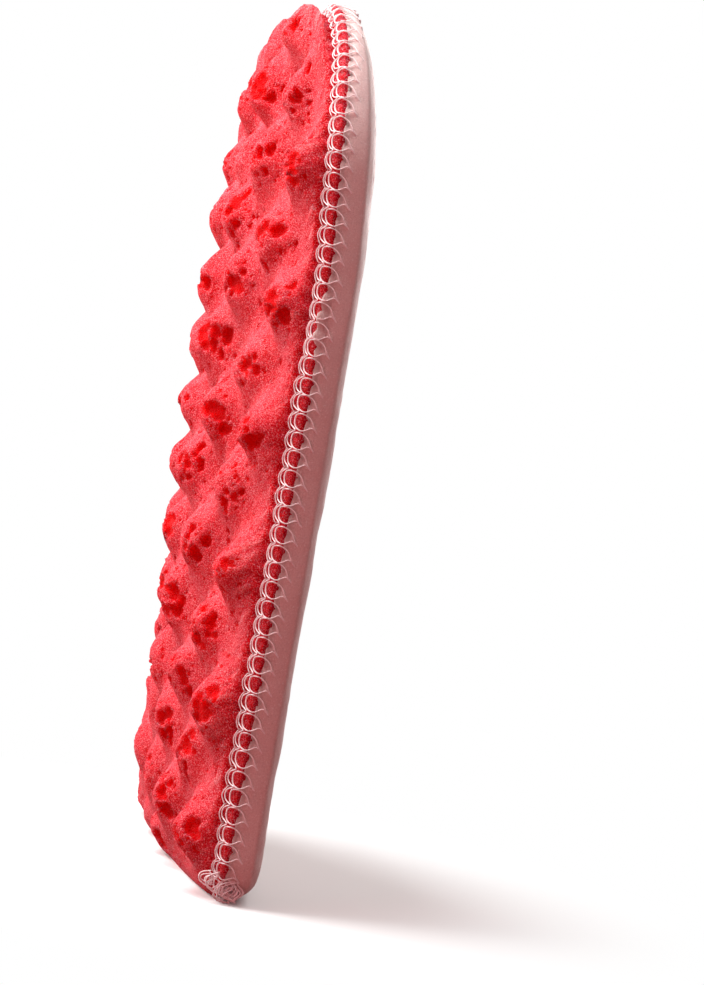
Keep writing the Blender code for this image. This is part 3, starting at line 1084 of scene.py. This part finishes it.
class Nodes:
    """Small helper that adds nodes to a material and links them as they are made."""

    def __init__(self, name):
        self.material = bpy.data.materials.new(name)
        self.material.use_nodes = True
        self.tree = self.material.node_tree
        self.shader = self.tree.nodes["Principled BSDF"]
        self.place = self.add("ShaderNodeTexCoord").outputs["Object"]

    def add(self, kind, inputs=None, **settings):
        return add_node(self.tree, kind, inputs, **settings)

    def noise(self, size, detail, roughness):
        settings = {"Vector": self.place, "Scale": 1 / size, "Detail": detail,
                    "Roughness": roughness}
        return self.add("ShaderNodeTexNoise", settings).outputs["Fac"]

    def cells(self, size, feature="F1"):
        settings = {"Vector": self.place, "Scale": 1 / size}
        return self.add("ShaderNodeTexVoronoi", settings, feature=feature).outputs["Distance"]

    def attribute(self, name):
        return self.add("ShaderNodeAttribute", attribute_name=name).outputs["Fac"]

    def ramp(self, value, low, high):
        """0 where the value is low and 1 where it is high."""
        inputs = {"Value": value, "From Min": low, "From Max": high}
        made = self.add("ShaderNodeMapRange", inputs, interpolation_type="SMOOTHSTEP")
        return made.outputs["Result"]

    def math(self, operation, first, second):
        return self.add("ShaderNodeMath", {0: first, 1: second}, operation=operation).outputs[0]

    def mix(self, share, first, second):
        inputs = {0: share, 6: first, 7: second}
        return self.add("ShaderNodeMix", inputs, data_type="RGBA").outputs[2]

    def tint(self, colour, tones):
        """The colour with each tone laid over it, by a share and a strength."""
        for share, strength, tone in tones:
            colour = self.mix(self.math("MULTIPLY", share, strength), colour, srgb(*tone))
        return colour

    def finish(self, colour, constants, height, depth, strength):
        """The material, with its colour, its shader's constants and a bump of its height."""
        for key, value in constants.items():
            self.shader.inputs[key].default_value = value
        self.tree.links.new(colour, self.shader.inputs["Base Color"])
        bump = self.add("ShaderNodeBump", {"Height": height, "Distance": depth,
                                           "Strength": strength})
        self.tree.links.new(bump.outputs["Normal"], self.shader.inputs["Normal"])
        return self.material


def srgb(red, green, blue):
    """Linear colour of an 8-bit one as it looks on a screen."""
    shares = [value / 255 for value in (red, green, blue)]
    linear = [s / 12.92 if s <= 0.04045 else ((s + 0.055) / 1.055) ** 2.4 for s in shares]
    return (*linear, 1.0)


def massage_foam_material():
    nodes = Nodes("massage_foam")
    edges = nodes.cells(0.00050, "DISTANCE_TO_EDGE")
    fine = nodes.cells(0.00028)
    grain = nodes.noise(0.00034, 2.0, 0.8)
    patch = nodes.noise(0.0060, 3.0, 0.6)
    streak = nodes.attribute("streak")
    colour = nodes.mix(nodes.ramp(patch, 0.32, 0.68), srgb(234, 28, 46), srgb(244, 58, 74))
    colour = nodes.tint(colour, (
        # Painted shade in the hollows between bumps and beside the seam
        (nodes.attribute("hollow"), 0.60, (224, 10, 28)),
        # Painted shade: a deeper crimson in the seam's crease and on its cut wall
        (nodes.attribute("seam"), 0.85, (208, 3, 48)),
        (nodes.ramp(streak, 0.45, 0.15), 0.6, (198, 4, 28)),
        (nodes.ramp(streak, 0.55, 0.85), 0.5, (255, 136, 140)),
        (nodes.ramp(grain, 0.50, 0.38), 0.85, (214, 2, 18)),
        # Light specks: the foam's grain, with painted glints of its cell walls
        (nodes.ramp(grain, 0.50, 0.66), 0.74, (255, 164, 170)),
        # Painted shade in the pores: a deep saturated red, as light bounced inside a hole
        (nodes.ramp(nodes.attribute("pore"), 0.30, 0.44), 1.0, (238, 0, 10)),
    ))
    constants = {
        "Roughness": 0.7,
        "Specular IOR Level": 0.05,
        "Subsurface Weight": 0.75,
        "Subsurface Radius": (0.0042, 0.0003, 0.0003),
        "Subsurface Scale": 1.0,
        "Sheen Weight": 0.15,
        "Sheen Roughness": 0.30,
        "Sheen Tint": (1.0, 0.50, 0.50, 1.0),
    }
    height = nodes.math("ADD", nodes.ramp(edges, 0.35, 0.0), nodes.math("MULTIPLY", fine, -0.5))
    waves = nodes.math("MULTIPLY", nodes.noise(0.0018, 3.0, 0.6), 1.8)
    return nodes.finish(colour, constants, nodes.math("ADD", height, waves), 0.00045, 1.0)


def scrub_foam_material():
    nodes = Nodes("scrub_foam")
    edges = nodes.cells(0.00030, "DISTANCE_TO_EDGE")
    grain = nodes.noise(0.00040, 2.0, 0.75)
    patch = nodes.noise(0.012, 2.0, 0.5)
    # The foam's warm white, tinted pinker as painted red bounce light
    colour = nodes.mix(nodes.ramp(patch, 0.3, 0.7), srgb(226, 194, 190), srgb(232, 202, 198))
    colour = nodes.tint(colour, (
        (nodes.ramp(grain, 0.48, 0.34), 0.40, (202, 174, 172)),
        # Light specks: the foam's grain, with painted glints
        (nodes.ramp(grain, 0.56, 0.70), 0.55, (250, 240, 238)),
        # Painted shade in the stitches' dents and beside the seam
        (nodes.attribute("seam"), 0.5, (180, 148, 142)),
    ))
    constants = {
        "Roughness": 0.6,
        "Specular IOR Level": 0.3,
        "Subsurface Weight": 0.2,
        "Subsurface Radius": (0.0012, 0.0009, 0.0009),
        "Subsurface Scale": 1.0,
    }
    height = nodes.math("ADD", nodes.ramp(edges, 0.5, 0.0), nodes.noise(0.0007, 3.0, 0.7))
    return nodes.finish(colour, constants, height, 0.00012, 0.8)


def thread_material():
    nodes = Nodes("seam_thread")
    ply = nodes.noise(0.0005, 2.0, 0.6)
    colour = nodes.mix(nodes.ramp(ply, 0.3, 0.7), srgb(242, 214, 216), srgb(254, 240, 240))
    constants = {
        "Roughness": 0.55,
        "Subsurface Weight": 0.15,
        "Subsurface Radius": (0.0004, 0.0003, 0.0003),
        "Subsurface Scale": 1.0,
        "Sheen Weight": 0.3,
    }
    return nodes.finish(colour, constants, ply, 0.0001, 0.5)


# Pieces

THREAD = thread_material()
massage = make_massage_layer()
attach(massage, "root")
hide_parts("massage_pad")
scrub = make_scrub_layer()
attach(scrub, "root")
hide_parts("scrub_pad")
make_threads()
make_tails()


# Floor, background and lights

FLOOR_REACH = 3
FLOOR_SEEN = (0.90, 0.89, 0.89, 1)
FLOOR_BOUNCE = (0.20, 0.06, 0.06, 1)
# Distances from the middle between which the floor turns white
FLOOR_CLEAR = 0.05
FLOOR_WHITE = 0.13
WORLD_COLOUR = (1.0, 0.92, 0.90, 1)
WORLD_LIGHT = 0.06


def seen_share(tree):
    """1 for what the camera sees, also in a mirror or through glass, and 0 for bounced light."""
    rays = add_node(tree, "ShaderNodeLightPath").outputs
    total = rays["Is Camera Ray"]
    for kind in ("Is Glossy Ray", "Is Transmission Ray"):
        most = add_node(tree, "ShaderNodeMath", {0: total, 1: rays[kind]}, operation="MAXIMUM")
        total = most.outputs[0]
    return total


def white_for_camera(tree, plain, share=1.0):
    """Shows white in the picture, by the share, and the plain shader to everything else."""
    inputs = {0: seen_share(tree), 1: share}
    seen = add_node(tree, "ShaderNodeMath", inputs, operation="MULTIPLY")
    white = add_node(tree, "ShaderNodeEmission", {"Color": (1, 1, 1, 1), "Strength": 1.0})
    inputs = {0: seen.outputs[0], 1: plain, 2: white.outputs[0]}
    return add_node(tree, "ShaderNodeMixShader", inputs).outputs[0]


def make_floor():
    data = bpy.data.meshes.new("floor")
    far = FLOOR_REACH
    corners = ((-far, -far, 0), (far, -far, 0), (far, far, 0), (-far, far, 0))
    data.from_pydata(corners, [], [(0, 1, 2, 3)])
    floor = bpy.data.objects.new("floor", data)
    bpy.context.scene.collection.objects.link(floor)
    nodes = Nodes("floor_white")
    tree = nodes.tree
    tone = nodes.mix(seen_share(tree), FLOOR_BOUNCE, FLOOR_SEEN)
    tree.links.new(tone, nodes.shader.inputs["Base Color"])
    nodes.shader.inputs["Roughness"].default_value = 0.8
    away = nodes.add("ShaderNodeVectorMath", {0: nodes.place}, operation="LENGTH").outputs["Value"]
    share = nodes.ramp(away, FLOOR_CLEAR, FLOOR_WHITE)
    shown = white_for_camera(tree, nodes.shader.outputs[0], share)
    tree.links.new(shown, tree.nodes["Material Output"].inputs["Surface"])
    data.materials.append(nodes.material)


def make_world():
    world = bpy.data.worlds.new("studio")
    world.use_nodes = True
    tree = world.node_tree
    plain = tree.nodes["Background"]
    plain.inputs["Color"].default_value = WORLD_COLOUR
    plain.inputs["Strength"].default_value = WORLD_LIGHT
    shown = white_for_camera(tree, plain.outputs[0])
    tree.links.new(shown, tree.nodes["World Output"].inputs["Surface"])
    bpy.context.scene.world = world


def make_lamp(name, place, aim, size, power, colour=(1, 1, 1)):
    """A square lamp, with its size in metres and its power in watts."""
    data = bpy.data.lights.new(name, "AREA")
    data.shape = "SQUARE"
    data.size = size
    data.energy = power
    data.color = colour
    lamp = bpy.data.objects.new(name, data)
    lamp.location = place
    way = Vector(aim) - Vector(place)
    lamp.rotation_euler = way.to_track_quat("-Z", "Y").to_euler()
    bpy.context.scene.collection.objects.link(lamp)


make_floor()
make_world()
make_lamp("key", (-0.10, -0.62, 0.64), (0, 0, 0.10), 0.60, 6.5, (1.0, 0.985, 0.97))
make_lamp("top", (0.02, -0.16, 0.46), (0.03, 0, 0.17), 0.20, 1.6)
make_lamp("back", (-0.50, -0.45, 0.30), (0, 0, 0.10), 0.35, 3.6)
make_lamp("side", (0.16, 0.08, 0.34), (0.06, 0, 0.17), 0.10, 0.12)
make_lamp("front", (0.50, -0.60, 0.22), (0.03, 0, 0.11), 0.40, 1.45, (1.0, 0.26, 0.29))
make_lamp("warm", (0.36, 0.22, 0.08), (0.06, 0, 0.08), 0.20, 0.18, (1.0, 0.08, 0.08))
make_lamp("rear", (-0.85, 0.46, 0.40), (0, 0, 0.10), 0.40, 8.0, (1.0, 0.97, 0.95))
bpy.context.scene.view_settings.view_transform = "Standard"
